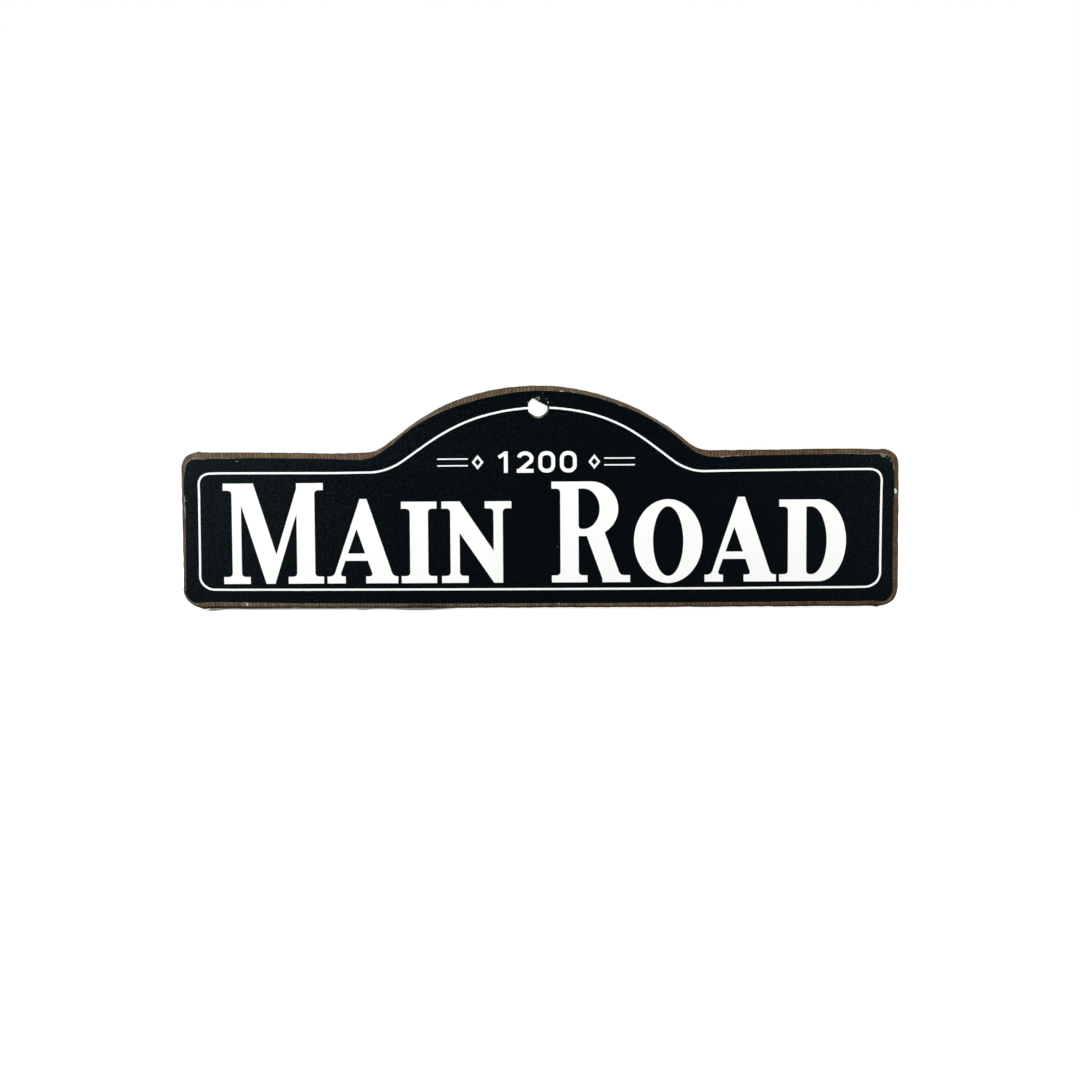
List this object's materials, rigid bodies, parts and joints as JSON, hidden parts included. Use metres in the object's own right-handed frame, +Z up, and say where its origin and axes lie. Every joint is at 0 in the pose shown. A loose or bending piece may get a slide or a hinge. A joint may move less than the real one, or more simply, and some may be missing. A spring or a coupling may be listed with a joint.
{
  "type": "street name sign",
  "caption": "Small crested street name sign: a bevelled fibreboard panel with a black printed face, a white border line and a hanging hole in the crest.",
  "frame": {"origin": "on the axis of the hanging hole, in the plane of the back", "axes": "+X to the reader's right along the sign, +Y out of the back towards the wall, +Z up; the printed face looks towards -Y"},
  "size_m": [0.2032, 0.0033, 0.0629],
  "materials": {
    "fibreboard": "matte",
    "black_print": "satin",
    "white_print": "satin"
  },
  "bodies": {
    "root": {"board": "fibreboard", "face_sheet": "black_print", "border_line": "white_print"}
  },
  "joints": []
}
